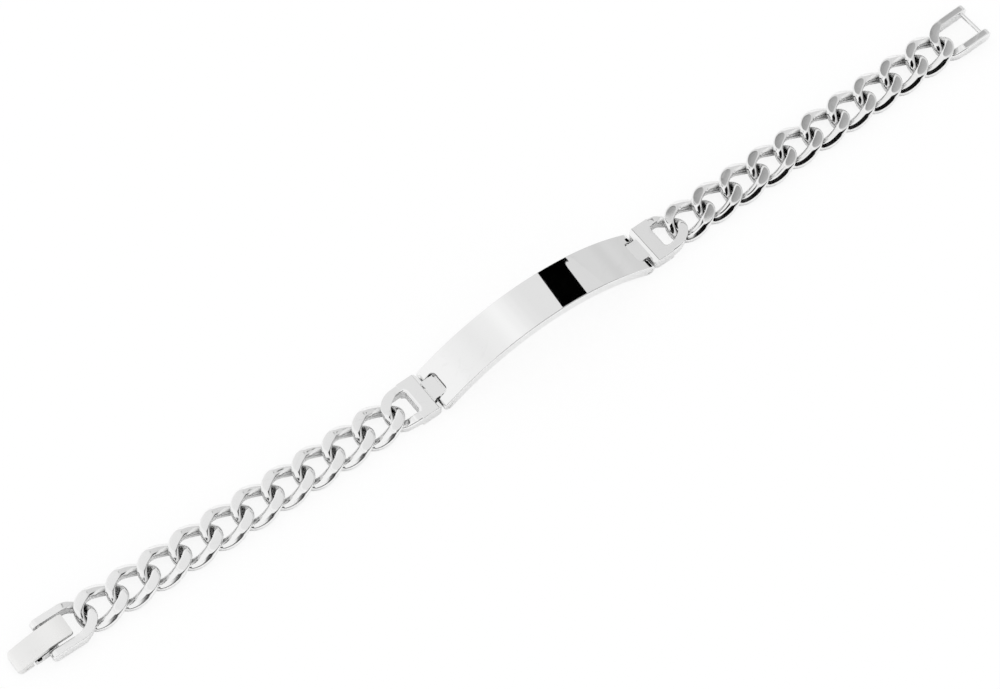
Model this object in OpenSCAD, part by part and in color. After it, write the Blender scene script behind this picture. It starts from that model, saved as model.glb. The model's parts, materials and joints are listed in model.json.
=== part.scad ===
// Identity bracelet: a curved plate hinged between two curb chains, lying unfastened and nearly
// straight. Millimetres, X along the bracelet from the clasp to the free shackle, Z up, on z = 0.

/* [ID plate] */
// Length of the plate from tip to tip, measured straight
plate_len = 45.5; // [38:0.5:54]
// Width of the plate
plate_w = 8.3; // [7.6:0.1:10]
// Thickness of the plate
plate_t = 2.1; // [1.8:0.05:2.4]
// Radius of the plate's upper face
plate_r = 39.5; // [34:0.5:70]
// Width of the notch at each end of the plate
notch_w = 4.4; // [4:0.1:5.2]
// Depth of the notch behind the hinge pin
notch_back = 1.9; // [1.7:0.1:4]
// Radius of the notch's inner corners
notch_corner_r = 0.9; // [0.2:0.1:1]

/* [Hinges] */
// Diameter of the hinge pins
hinge_pin_d = 1.0; // [0.7:0.05:1.1]
// Gap between the hinge knuckle and the sides of its notch
knuckle_gap = 0.15; // [0.1:0.05:0.3]
// Gap between the hinge knuckle's nose and the end of its notch
nose_gap = 0.2; // [0.1:0.05:0.4]
// Gap between the plate's tip and the body of the connector
tip_gap = 0.25; // [0.2:0.05:0.5]

/* [Connectors] */
// Thickness of the connector's solid body
connector_t = 2.5; // [2.3:0.1:3]
// Length of the connector's solid body
connector_body = 3.6; // [2.8:0.1:5]
// Slope cut off the body's upper edge beside the plate
connector_slope = 0.8; // [0.3:0.1:1.2]
// Radius of the body's corners beside the plate, seen from above
connector_corner_r = 0.9; // [0.3:0.1:1.4]
// Width of the two rails that run into the loop
rail_w = 1.7; // [1.5:0.1:1.9]
// Distance from the solid body to the middle of the loop
rail_run = 0.9; // [0.5:0.1:2]

/* [Chain] */
// Links on each side of the plate
links_per_side = 10; // [7:1:11]
// Distance from one link to the next
pitch = 6.2; // [5.8:0.1:7]
// Width of the chain
chain_w = 8.0; // [7.6:0.1:9]
// Thickness of the chain between its ground faces
chain_t = 2.9; // [2.7:0.1:3.3]
// Thickness of the wire
wire_d = 1.9; // [1.7:0.05:2]
// Width of the wire along the sides of a link, where it is pressed flat
wire_side = 2.3; // [1.9:0.05:2.4]
// Width of the wire at the two ends of a link
wire_end = 1.75; // [1.5:0.05:1.8]
// Play between the wires of two neighbouring links
link_play = 0.1; // [0.06:0.02:0.3]
// Depth of the shallow arc in which the two chains lie
lay_depth = 1; // [0:0.1:2]

/* [Shackles] */
// Width of a shackle's arm
arm_w = 1.45; // [1.2:0.05:1.6]
// Height of a shackle's arm
arm_t = 2.15; // [1.8:0.05:2.4]
// Reach of the arms from the middle of the loop to the tips
arm_reach = 5.45; // [5.2:0.05:6]
// Diameter of the cross bar
bar_d = 0.8; // [0.6:0.05:0.9]
// Distance from the middle of the bar to the tips of the arms
bar_setback = 1.25; // [0.65:0.05:1.4]

/* [Clasp] */
// Length of the lid
lid_len = 11; // [10.5:0.1:12]
// Width of the lid
lid_w = 4.1; // [3.9:0.1:4.5]
// Thickness of the lid
lid_t = 0.8; // [0.7:0.05:1]
// Radius of the lid's arched top
lid_r = 25; // [24:1:60]
// Distance from the lid's pin to the highest line of its arch
lid_crest = 5.75; // [5:0.25:6]
// Distance from the lid's pin to its turned-down end
lid_back = 1.85; // [1.5:0.05:2]
// Radius of the free corners of the lid, seen from above
lid_corner_r = 0.5; // [0.3:0.1:2]
// Radius of the corners of the lid's turned-down end, seen from above
lid_nose_r = 0.8; // [0.3:0.1:0.9]
// Rounding of the lid's turned-down end, seen from the side
lid_end_r = 1.1; // [0.7:0.1:1.2]
// Length of the lid's cheeks before its pin
cheek_run = 1.05; // [0.9:0.05:1.3]
// Width of the tongue under the lid
tongue_w = 4.4; // [4:0.1:4.7]
// Thickness of the tongue
tongue_t = 1.6; // [1.4:0.05:1.8]
// Width of the tongue's eye between the cheeks
eye_w = 2.7; // [2.3:0.1:2.8]
// Distance from the shackle's bar to the lid's pin
tongue_len = 5.25; // [5:0.05:6.5]
// Diameter of the lid's pin
lid_pin_d = 0.7; // [0.5:0.05:0.8]
// Gap between the tongue and the lid
lid_gap = 0.25; // [0.15:0.05:0.4]

/* [Fits] */
// Running clearance all round a pin that turns in its bore
run_fit = 0.03; // [0.02:0.01:0.06]
// Clearance all round a pin that is set in its bore
set_fit = 0.015; // [0.01:0.005:0.03]
// Clearance of the cheeks and the lid's hollow round the tongue's eye
eye_play = 0.1; // [0.06:0.02:0.14]
// Gap between the tongue and the arm that it lies beside on its bar
side_gap = 0.1; // [0.05:0.05:0.15]
// What a pin is shorter than the width that it runs through
pin_trim = 0.1; // [0:0.02:0.2]

/* [Hidden] */
$fn = 96;
smooth = 360;
link_steps = 24;
wire_sides = 10;
overshoot = 1;
steel = [0.80, 0.81, 0.82];
satin = [0.72, 0.73, 0.74];

// Heights
mid_z = chain_t / 2;
hinge_z = plate_t / 2;
rest_gap = 0.02;

// Plate
plate_mid_r = plate_r - plate_t / 2;
hinge_x = plate_len / 2 - plate_t / 2;
plate_slope = asin(hinge_x / plate_mid_r);
knuckle_w = notch_w - 2 * knuckle_gap;
knuckle_inset = 0.05;
knuckle_r = plate_t / 2 - knuckle_inset;
knuckle_nose = notch_back - knuckle_r - nose_gap;
nose_x = knuckle_nose + knuckle_r - hinge_x;

// Connector: its rails are as high as the body once they are ground
body_x = plate_len / 2 + tip_gap;
hole_x = body_x + connector_body;
loop_x = hole_x + rail_run;
ground_off = 0.1;
rail_high = connector_t - mid_z;
rail_t = 2 * rail_high + ground_off;

// Chain: half lengths of a link's centre line, and the height that its wire swings up and down
cross_rise = 0.12;
link_a = (pitch + wire_end + link_play) / 2;
link_b = (chain_w - wire_side) / 2;
link_h = (wire_d + link_play) / 2 + cross_rise;
first_link_x = loop_x + pitch;
side_power = 4;
loop_swell = 1.12;
level_power = 8;

// Shackles
shackle_x = first_link_x + links_per_side * pitch;
bar_reach = arm_reach - bar_setback;
bar_x = shackle_x + bar_reach;
arm_y = (chain_w - arm_w) / 2;
bar_len = chain_w - arm_w;
weld_inset = 0.06;
weld_run = 0.8;

// Clasp, measured from the bar with the lid shut
cheek_drop = 0.7;
wall_t = 0.4;
end_open = 0.15;
hollow_back_z = 0.15;
swing_gap = 0.14;
lid_under = tongue_t / 2 + lid_gap;
lid_top = lid_under + lid_t;
crest_x = lid_crest - tongue_len;
clasp_reach = tongue_len + lid_back;
clasp_slide = (chain_w - tongue_w) / 2 - arm_w - side_gap;
cheek_len = lid_back + cheek_run;
eye_len = norm([cheek_run, cheek_drop]) + swing_gap;
wide_end = tongue_len - eye_len;
saddle_fit = 0.05;
saddle_x = 3;
saddle_r = bar_d / 2 + saddle_fit;
saddle_z = arch_z(lid_r - lid_t, -saddle_x) - saddle_r;
lid_end_x = lid_end_r - clasp_reach;
lid_end_z = arch_z(lid_r - lid_end_r, lid_end_x);
clasp_droop = asin((mid_z - rest_gap) / norm([clasp_reach, cheek_drop])) - atan(cheek_drop / clasp_reach);
lid_reach = lid_end_z * sin(clasp_droop) - lid_end_x * cos(clasp_droop) + lid_end_r;

// The frame's origin lies below the middle of the whole length and width
end_turn = lay_turn(shackle_x);
left_reach = (bar_reach + lid_reach) * cos(end_turn)
    + (lid_w / 2 - lid_nose_r + clasp_slide) * sin(end_turn);
right_reach = arm_reach * cos(end_turn) + chain_w / 2 * sin(end_turn);
side_reach = lay_y(shackle_x) + arm_reach * sin(end_turn) + chain_w / 2 * cos(end_turn);
origin_shift = [(left_reach - right_reach) / 2, (plate_w / 2 - side_reach) / 2, 0];

function two_digits(n) = n < 10 ? str("0", n) : str(n);
function link_name(side, n) = str("link_", side, "_", two_digits(n));

// The chains' lay: a piece at a distance from the plate's middle stands off to one side and turns
// with the arc
function lay_share(d) = (d - hole_x) / (bar_x - hole_x);
function lay_y(d) = lay_depth * pow(lay_share(d), 2);
function lay_turn(d) = atan(2 * lay_depth * lay_share(d) / (bar_x - hole_x));

// Height of the lid's arch, or of an arch inside it, above the bar
function arch_z(r, x) = lid_top - lid_r + sqrt(r * r - pow(x - crest_x, 2));

// Shapes of wire

// A point of a wire's section: a circle when square is 2, and a square with round corners above it
function power(v, e) = sign(v) * pow(abs(v), e);
function section(across, up, square) =
    [for (j = [0 : wire_sides - 1])
        let (a = j * 360 / wire_sides)
        [across * power(cos(a), 2 / square), up * power(sin(a), 2 / square)]];

// Puts a section upright at a point of the centre line, square to its run, and grinds it flat
// above, below and on the outer sides
function stand(section, centre, outward, high, half_w) =
    [for (p = section)
        let (x = centre[0] + p[0] * outward[0], y = centre[1] + p[0] * outward[1])
        [x, max(-half_w, min(half_w, y)), max(-chain_t / 2, min(high, centre[2] + p[1]))]];

// Joins rings of points into one solid, closed on itself or with a cap at each end
module tube(rings, closed) {
    count = len(rings);
    sides = len(rings[0]);
    last = closed ? count - 1 : count - 2;
    walls = [for (i = [0 : last], j = [0 : sides - 1], half = [0, 1])
        let (k = (i + 1) % count, m = (j + 1) % sides)
        half == 0
            ? [i * sides + j, i * sides + m, k * sides + m]
            : [i * sides + j, k * sides + m, k * sides + j]];
    caps = closed ? [] : concat(
        [for (j = [1 : sides - 2]) [0, j + 1, j]],
        [for (j = [1 : sides - 2]) let (s = (count - 1) * sides) [s, s + j, s + j + 1]]);
    polyhedron(points = [for (r = rings, p = r) p], faces = concat(walls, caps), convexity = 6);
}

// Outward direction of an oval at an angle, seen from above
function oval_out(a, b, t) =
    let (v = [b * cos(t), a * sin(t)]) v / norm(v);

// Slope of the wire where it swings from high to low
function wire_rise(t) = let (run = norm([link_a * sin(t), link_b * cos(t)]))
    abs(2 * link_h * cos(2 * t)) / run;

function link_ring(t) =
    let (
        across = (wire_end + (wire_side - wire_end) * pow(abs(sin(t)), side_power)) / 2,
        up = wire_d / 2 * sqrt(1 + pow(wire_rise(t), 2)))
    stand(
        section(across, up, 2),
        [link_a * cos(t), link_b * sin(t), -link_h * sin(2 * t)],
        oval_out(link_a, link_b, t), chain_t / 2, chain_w / 2);

module link() {
    color(steel)
    tube([for (i = [0 : link_steps - 1]) link_ring(i * 360 / link_steps)], true);
}

// Half of a link's oval that runs out of two straight rails: the loop of a connector or shackle.
// It swings as a link does, but leaves the rails level. It opens towards -X.
function loop_ring(t, width, height, high) =
    let (
        turn = 1 - pow(abs(sin(t)), level_power),
        mix = abs(cos(t)),
        across = (width + (wire_end - width) * mix) / 2,
        up = (height + (wire_d * loop_swell - height) * mix) / 2,
        b = (chain_w - width) / 2)
    stand(
        section(across, up, 4 - 2 * mix),
        [link_a * cos(t), b * sin(t), -link_h * sin(2 * t) * turn],
        oval_out(link_a, b, t), high, chain_w / 2);

function rail_ring(x, side, width, height, high) =
    stand(
        section(width / 2, height / 2, 4),
        [x, side * (chain_w - width) / 2, 0],
        [0, side], high, chain_w / 2);

// The loop and its rails, which reach back by run and end inside the piece that carries them.
// Above the chain's middle it is ground flat at high.
module loop(width, height, run, high) {
    half = link_steps / 2;
    turns = [for (i = [0 : half]) -90 + i * 180 / half];
    tube(concat(
        [rail_ring(-run, -1, width, height, high)],
        [for (t = turns) loop_ring(t, width, height, high)],
        [rail_ring(-run, 1, width, height, high)]), false);
}

// A flat outline in X and Z, drawn out to a width along Y
module across_y(width) {
    rotate([90, 0, 0]) linear_extrude(height = width, center = true) children();
}

module pin(d, length) {
    rotate([90, 0, 0]) cylinder(d = d, h = length, center = true);
}

// A block seen from above, from x = -back to x = 0, with round corners at x = 0
module round_ended(back, width, corner_r, tall) {
    linear_extrude(height = tall, center = true)
    union() {
        translate([-back, -width / 2]) square([back - corner_r, width]);
        translate([-back, corner_r - width / 2]) square([back, width - 2 * corner_r]);
        for (s = [-1, 1]) translate([-corner_r, s * (width / 2 - corner_r)]) circle(r = corner_r);
    }
}

// Puts a piece drawn for the -X side on the side asked for: the two halves of the bracelet are one
// design, turned half round about the plate's middle
module on_side(side) {
    translate(origin_shift) rotate([0, 0, side == "left" ? 0 : 180]) children();
}

// Puts a piece of the chain, drawn about its own middle, at its distance along the arc
module laid(side, d) {
    way = side == "left" ? 1 : -1;
    on_side(side)
    translate([-d, way * lay_y(d), mid_z]) rotate([0, 0, -way * lay_turn(d)]) children();
}

// ID plate

module plate_profile() {
    reach = 2 * plate_r;
    translate([0, hinge_z - plate_mid_r * cos(plate_slope)])
    union() {
        intersection() {
            difference() {
                circle(r = plate_r, $fn = smooth);
                circle(r = plate_r - plate_t, $fn = smooth);
            }
            polygon([
                [0, 0],
                [-reach * sin(plate_slope), reach * cos(plate_slope)],
                [reach * sin(plate_slope), reach * cos(plate_slope)]]);
        }
        for (s = [-1, 1])
            translate([s * plate_mid_r * sin(plate_slope), plate_mid_r * cos(plate_slope)])
            circle(d = plate_t);
    }
}

// Notch for the hinge knuckle, square to the plate's slope at its -X end
module plate_notch() {
    tall = 3 * plate_t;
    out = 4 * plate_t;
    translate([-hinge_x, 0, hinge_z]) rotate([0, -plate_slope, 0])
    translate([notch_back, 0, 0])
    round_ended(out, notch_w, notch_corner_r, tall);
}

module id_plate() {
    color(steel)
    translate(origin_shift)
    difference() {
        across_y(plate_w) plate_profile();
        for (turn = [0, 180]) rotate([0, 0, turn]) {
            plate_notch();
            translate([-hinge_x, 0, hinge_z])
            pin(hinge_pin_d + 2 * set_fit, plate_w + 2 * overshoot);
        }
    }
}

module hinge_pin(side) {
    color(satin)
    on_side(side) translate([-hinge_x, 0, hinge_z]) pin(hinge_pin_d, plate_w - pin_trim);
}

// Connectors

module connector(side) {
    color(steel)
    on_side(side)
    difference() {
        union() {
            // Solid body with the slope and the round corners beside the plate
            intersection() {
                across_y(chain_w)
                polygon([
                    [-hole_x, 0],
                    [-body_x, 0],
                    [-body_x, connector_t - connector_slope],
                    [-body_x - connector_slope, connector_t],
                    [-hole_x, connector_t]]);
                translate([-body_x, 0, 0])
                round_ended(2 * connector_body, chain_w, connector_corner_r, 3 * connector_t);
            }
            // Hinge knuckle, whose nose fills the notch
            intersection() {
                across_y(knuckle_w)
                union() {
                    translate([knuckle_nose - hinge_x, hinge_z]) circle(r = knuckle_r);
                    translate([-body_x - overshoot, hinge_z - knuckle_r])
                    square([body_x + overshoot + knuckle_nose - hinge_x, 2 * knuckle_r]);
                }
                translate([nose_x + knuckle_inset, 0, 0])
                round_ended(4 * connector_body, knuckle_w, notch_corner_r, 3 * connector_t);
            }
            // Loop for the first link
            translate([-loop_x, 0, mid_z]) rotate([0, 0, 180])
            loop(rail_w, rail_t, rail_run + connector_body / 2, rail_high);
        }
        translate([-hinge_x, 0, hinge_z])
        pin(hinge_pin_d + 2 * run_fit, chain_w + 2 * overshoot);
    }
}

// Chain

module chain_link(side, n) {
    laid(side, first_link_x + (side == "left" ? links_per_side - n : n - 1) * pitch)
    link();
}

// Shackles

module shackle(side) {
    color(steel)
    laid(side, shackle_x)
    difference() {
        union() {
            loop(arm_w - weld_inset, arm_t - weld_inset, weld_run, chain_t / 2);
            for (s = [-1, 1]) translate([0, s * arm_y, 0])
            across_y(arm_w)
            union() {
                translate([-arm_reach + arm_t / 2, 0]) circle(d = arm_t);
                translate([-arm_reach + arm_t / 2, -arm_t / 2])
                square([arm_reach - arm_t / 2, arm_t]);
            }
        }
        translate([-bar_reach, 0, 0])
        pin(bar_d + 2 * set_fit, bar_len);
    }
}

module shackle_bar(side) {
    color(satin)
    laid(side, shackle_x) translate([-bar_reach, 0, 0]) pin(bar_d, bar_len - pin_trim);
}

// Clasp

// Puts the clasp on the left shackle's bar, slid along it to the nearer arm, and drooping until its
// end lies on the surface
module at_clasp() {
    laid("left", shackle_x)
    translate([-bar_reach, -clasp_slide, 0]) rotate([0, -clasp_droop, 0]) children();
}

// The lid's arch in X and Z, or one inside it
module arch(r) {
    translate([crest_x, lid_top - lid_r]) circle(r = r, $fn = smooth);
}

module clasp_tongue() {
    color(steel)
    at_clasp()
    difference() {
        union() {
            // Wide part, whose top keeps its distance from the lid's arch
            across_y(tongue_w)
            intersection() {
                union() {
                    circle(d = tongue_t);
                    translate([-wide_end, -tongue_t / 2]) square([wide_end, tongue_t]);
                }
                arch(lid_r - lid_t - lid_gap);
            }
            // Narrow part with the eye
            across_y(eye_w)
            union() {
                translate([-tongue_len, 0]) circle(d = tongue_t);
                translate([-tongue_len, -tongue_t / 2]) square([eye_len, tongue_t]);
            }
        }
        pin(bar_d + 2 * run_fit, tongue_w + 2 * overshoot);
        translate([-tongue_len, 0, 0]) pin(lid_pin_d + 2 * set_fit, eye_w + 2 * overshoot);
        // Saddle that takes the other shackle's bar when the clasp is shut
        translate([-saddle_x, 0, saddle_z]) pin(2 * saddle_r, tongue_w + 2 * overshoot);
        translate([-saddle_x - saddle_r, -tongue_w / 2 - overshoot, saddle_z])
        cube([2 * saddle_r, tongue_w + 2 * overshoot, tongue_t]);
    }
}

// Side view of the lid: the arched top, and the turned-down end with its cheeks
module lid_profile() {
    low = -cheek_drop;
    deep = low - overshoot;
    intersection() {
        union() {
            translate([lid_end_x, lid_end_z]) circle(r = lid_end_r);
            translate([-clasp_reach, deep]) square([cheek_len, lid_end_z - deep]);
            translate([lid_end_x, deep]) square([cheek_len - lid_end_r, lid_top - deep]);
            difference() {
                translate([lid_end_x, 0]) square([lid_len - lid_end_r, lid_top]);
                arch(lid_r - lid_t);
            }
        }
        arch(lid_r);
        translate([-clasp_reach - overshoot, low])
        square([lid_len + 2 * overshoot, lid_top + overshoot - low]);
    }
}

// Room for the tongue's eye between the cheeks, open below and low down at the end wall
module eye_hollow() {
    reach_r = tongue_t / 2 + eye_play;
    down = cheek_drop + overshoot;
    across_y(eye_w + 2 * eye_play)
    union() {
        translate([-tongue_len, 0]) circle(r = reach_r);
        translate([-tongue_len, -down]) square([eye_len + eye_play, reach_r + down]);
        translate([wall_t - clasp_reach, -down]) square([lid_back - wall_t, down + hollow_back_z]);
        translate([-clasp_reach - overshoot, -down]) square([lid_back + overshoot, down - end_open]);
    }
}

module clasp_lid() {
    color(satin)
    at_clasp()
    difference() {
        intersection() {
            across_y(lid_w) lid_profile();
            translate([lid_len - clasp_reach, 0, 0])
            round_ended(2 * lid_len, lid_w, lid_corner_r, 2 * lid_len);
            translate([-clasp_reach, 0, 0]) rotate([0, 0, 180])
            round_ended(2 * lid_len, lid_w, lid_nose_r, 2 * lid_len);
        }
        eye_hollow();
        translate([-tongue_len, 0, 0]) pin(lid_pin_d + 2 * run_fit, lid_w + 2 * overshoot);
    }
}

module lid_pin() {
    color(satin)
    at_clasp() translate([-tongue_len, 0, 0]) pin(lid_pin_d, lid_w - pin_trim);
}

id_plate();
connector("left");  // connector_left
connector("right");  // connector_right
hinge_pin("left");  // hinge_pin_left
hinge_pin("right");  // hinge_pin_right
for (side = ["left", "right"], n = [1 : links_per_side])
    chain_link(side, n);
shackle("left");  // shackle_left
shackle("right");  // shackle_right
shackle_bar("left");  // shackle_bar_left
shackle_bar("right");  // shackle_bar_right
clasp_tongue();
clasp_lid();
lid_pin();
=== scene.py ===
# %% [markdown]
# # An identity bracelet in polished steel
# The real bracelet is a curved name plate between two curb chains, with a fold-over clasp at one
# end. It lies open on a white table. The construction model gives the true sizes and the places of
# all pieces, so this script only dresses it: every piece gets a finer mesh with soft edges, and the
# steel gets its polish. First the construction model is loaded and its box is kept.

# %% Load the construction model
import json
from math import asin, atan, cos, pi, radians, sin, sqrt

import bmesh
import bpy
import numpy as np
from mathutils import Matrix, Vector


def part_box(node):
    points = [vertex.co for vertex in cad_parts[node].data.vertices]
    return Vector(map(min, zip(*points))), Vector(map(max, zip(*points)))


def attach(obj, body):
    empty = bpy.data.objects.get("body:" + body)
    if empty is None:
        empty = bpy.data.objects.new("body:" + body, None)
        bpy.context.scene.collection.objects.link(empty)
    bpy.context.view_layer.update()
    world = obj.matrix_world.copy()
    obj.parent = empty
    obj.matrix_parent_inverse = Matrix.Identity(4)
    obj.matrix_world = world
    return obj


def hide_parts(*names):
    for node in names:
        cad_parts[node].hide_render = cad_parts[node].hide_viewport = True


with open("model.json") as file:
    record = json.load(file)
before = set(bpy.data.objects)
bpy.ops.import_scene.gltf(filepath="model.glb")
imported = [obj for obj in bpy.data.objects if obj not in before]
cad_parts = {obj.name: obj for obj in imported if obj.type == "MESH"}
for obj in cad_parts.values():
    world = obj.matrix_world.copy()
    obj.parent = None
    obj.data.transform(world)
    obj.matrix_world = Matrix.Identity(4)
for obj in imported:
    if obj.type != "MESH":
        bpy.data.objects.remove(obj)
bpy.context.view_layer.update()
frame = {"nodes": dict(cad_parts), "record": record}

MM = 0.001

# %% [markdown]
# ## Camera
# The photo was taken from high above the front left, with a long lens. A camera is placed by the
# two angles, a point to look at and a distance. That is easier to read and to correct than a
# location and three turns.

# %% Camera
AZIMUTH, ELEVATION, DISTANCE = radians(-37.32), radians(61.0), 0.57849
LOOK_AT = Vector((-0.00458, 0.00016, 0.0))
LENS_PIXELS, IMAGE_WIDTH, SENSOR = 3371.9, 1000, 36.0
NEAREST, FARTHEST = 0.01, 10


def place_camera():
    back = Vector((
        sin(AZIMUTH) * cos(ELEVATION), -cos(AZIMUTH) * cos(ELEVATION), sin(ELEVATION)))
    camera = bpy.data.objects.new("camera", bpy.data.cameras.new("camera"))
    bpy.context.scene.collection.objects.link(camera)
    camera.data.sensor_width = SENSOR
    camera.data.lens = LENS_PIXELS / IMAGE_WIDTH * SENSOR
    camera.data.clip_start, camera.data.clip_end = NEAREST, FARTHEST
    camera.location = LOOK_AT + back * DISTANCE
    camera.rotation_mode = "QUATERNION"
    camera.rotation_quaternion = (-back).to_track_quat("-Z", "Y")
    bpy.context.scene.camera = camera
    return camera


print("lens:", round(place_camera().data.lens, 1), "mm")

# %% [markdown]
# ## Sizes
# A few sizes are stated in millimetres, as a maker would write them down. The others are read from
# the construction model's boxes, so the two can't drift apart. The chains lie in a shallow arc: a
# piece further from the plate stands off more to the side and turns with the arc.

# %% Sizes
# Chain: its width and its ground thickness, the wire's thickness, its width along the sides and at
# the ends of a link, and the play between two links.
CHAIN_W, CHAIN_T = 8.0, 2.9
WIRE, WIRE_SIDE, WIRE_END, PLAY = 1.9, 2.3, 1.75, 0.1
# Plate, with its two notches.
PLATE_T, NOTCH_W, NOTCH_BACK, NOTCH_R = 2.1, 4.4, 1.9, 0.9
# Round pins and bars.
PIN_D, BAR_D, LID_PIN_D = 1.0, 0.8, 0.7
# Connectors: the block, its slope beside the plate, its knuckle and the rails of its loop.
TIP_GAP, CONNECTOR_BODY = 0.25, 3.6
CONNECTOR_T, CONNECTOR_SLOPE, CONNECTOR_R = 2.5, 0.8, 0.9
KNUCKLE_W, RAIL_W, RAIL_RUN = 4.1, 1.7, 0.9
# Shackles: their arms, and how far the cross bar sits back from the arms' tips.
ARM_W, ARM_T, ARM_REACH, BAR_SETBACK = 1.45, 2.15, 5.45, 1.25
# How the whole lies: the depth of the shallow arc at the cross bars, and the chain's middle height.
LAY_DEPTH, MID_Z = 1.0, CHAIN_T / 2


def span(node):
    """A node's lowest corner and its size, in millimetres."""
    low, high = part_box(node)
    return np.array(low) / MM, np.array(high - low) / MM


plate_low, plate_size = span("id_plate")
PLATE_LEN, PLATE_W, PLATE_HIGH = plate_size
ORIGIN = plate_low + plate_size / 2
PITCH = span("link_right_02")[0][0] - span("link_right_01")[0][0]
HINGE_X, HINGE_Z = (PLATE_LEN - PLATE_T) / 2, PLATE_T / 2
BODY_X = PLATE_LEN / 2 + TIP_GAP
HOLE_X = BODY_X + CONNECTOR_BODY
LOOP_X = HOLE_X + RAIL_RUN
LINKS = sum(name.startswith("link_left") for name in frame["nodes"])
SHACKLE_X = LOOP_X + (LINKS + 1) * PITCH
BAR_REACH = ARM_REACH - BAR_SETBACK
BAR_X = SHACKLE_X + BAR_REACH
print("plate %.1f x %.1f mm, pitch %.2f mm, %d links a side" % (PLATE_LEN, PLATE_W, PITCH, LINKS))


# %% Places along the bracelet
def lay_share(d):
    """How far along its chain a place lies: 0 at the connector's hole, 1 at the cross bar."""
    return (d - HOLE_X) / (BAR_X - HOLE_X)


def middle(side):
    """Takes a piece drawn for the left side to its side of the plate."""
    turn = Matrix.Rotation(0 if side == "left" else pi, 4, "Z")
    return Matrix.Translation((ORIGIN[0], ORIGIN[1], 0)) @ turn


def laid(side, d):
    """Takes a piece of the chain, drawn about its own middle, to its distance from the plate."""
    way = 1 if side == "left" else -1
    offset = LAY_DEPTH * lay_share(d) ** 2
    turn = atan(2 * LAY_DEPTH * lay_share(d) / (BAR_X - HOLE_X))
    return (middle(side) @ Matrix.Translation((-d, way * offset, MID_Z))
            @ Matrix.Rotation(-way * turn, 4, "Z"))


print("free bar at", [round(c, 2) for c in laid("right", SHACKLE_X) @ Vector((-BAR_REACH, 0, 0))])

# %% [markdown]
# ## Small tools for hard metal pieces
# Sawn and filed pieces are drawn as an outline, drawn out to a width, cut with other shapes, and
# then broken at their edges. The same four steps work in Blender: a prism, a Boolean, a Bevel and
# weighted normals. The last one keeps the big faces truly flat in the shading, which a mirror
# polish shows at once. All of this is done in millimetres and scaled to metres at the end.


# %% Prisms
def mesh_object(name, points, faces):
    """An object in the scene from its points and faces."""
    mesh = bpy.data.meshes.new(name)
    mesh.from_pydata([tuple(p) for p in points], [], [tuple(f) for f in faces])
    mesh.validate()
    piece = bpy.data.objects.new(name, mesh)
    bpy.context.scene.collection.objects.link(piece)
    return piece


def recalculate(piece):
    """Turns every face of a closed mesh outwards."""
    bm = bmesh.new()
    bm.from_mesh(piece.data)
    bmesh.ops.recalc_face_normals(bm, faces=bm.faces)
    bm.to_mesh(piece.data)
    bm.free()
    return piece


def walled(name, first, last):
    """A closed body between two flat outlines of as many points."""
    n = len(first)
    walls = [(i, (i + 1) % n, n + (i + 1) % n, n + i) for i in range(n)]
    ends = [tuple(range(n)), tuple(range(2 * n - 1, n - 1, -1))]
    return recalculate(mesh_object(name, first + last, walls + ends))


def prism(name, outline, low, high):
    """A side view, in X and Z, drawn out along Y."""
    first, last = ([(x, level, z) for x, z in outline] for level in (low, high))
    return walled(name, first, last)


def upright(name, lower, upper, low, high):
    """A body between two plan views, in X and Y: straight when they are the same."""
    return walled(name, [(x, y, low) for x, y in lower], [(x, y, high) for x, y in upper])


def arc(cx, cy, r, start, end, steps):
    """Points on an arc, its two ends included, with the angles in degrees."""
    return [(cx + r * cos(radians(a)), cy + r * sin(radians(a)))
            for a in np.linspace(start, end, steps + 1)]


def round_ended(back, width, r):
    """A block seen from above, from x = -back to 0, with round corners at x = 0."""
    half = width / 2
    return ([(-back, -half)] + arc(-r, r - half, r, -90, 0, 8)
            + arc(-r, half - r, r, 0, 90, 8) + [(-back, half)])


def rod(d, length, x=0.0, z=0.0, steps=64):
    """A round bar along Y, to cut bores with."""
    return prism("rod", arc(x, z, d / 2, 0, 360 - 360 / steps, steps - 1), -length / 2, length / 2)


# %% Cuts, joins and edges
def applied(piece):
    """Bakes the piece's modifiers into its mesh."""
    seen = piece.evaluated_get(bpy.context.evaluated_depsgraph_get())
    mesh = bpy.data.meshes.new_from_object(seen)
    piece.modifiers.clear()
    piece.data = mesh
    return piece


def boolean(piece, other, operation):
    """Cuts, keeps or joins by another body, which is used up."""
    step = piece.modifiers.new(operation, "BOOLEAN")
    step.operation, step.solver, step.object = operation, "EXACT", other
    applied(piece)
    bpy.data.objects.remove(other)
    return piece


def trim(piece, outline, low, high, place, operation):
    """Cuts a piece with a plan view, or keeps only what lies inside it."""
    plan = upright("plan", outline, outline, low, high)
    plan.data.transform(place)
    return boolean(piece, plan, operation)


def broken_edges(piece, width, angle=30.0, segments=3):
    """Rounds every edge that is sharper than the angle."""
    step = piece.modifiers.new("edges", "BEVEL")
    step.width, step.segments = width, segments
    step.limit_method, step.angle_limit = "ANGLE", radians(angle)
    step.use_clamp_overlap = True
    return applied(piece)


def shaded(piece, sharp=50.0, weighted=True):
    """Smooth shading that keeps big faces flat and true corners crisp."""
    piece.data.shade_smooth()
    piece.data.set_sharp_from_angle(angle=radians(sharp))
    if weighted:
        step = piece.modifiers.new("flat faces", "WEIGHTED_NORMAL")
        step.mode, step.weight, step.keep_sharp = "FACE_AREA", 100, True
        applied(piece)
    return piece


PIECES = []


def settle(piece, name, place, node, body):
    """Moves a finished piece to its place, in metres, and lets it stand for its node."""
    piece.data.transform(Matrix.Scale(MM, 4) @ place)
    piece.name = piece.data.name = name
    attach(piece, body)
    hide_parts(node)
    PIECES.append((piece, node))
    return piece


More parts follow.
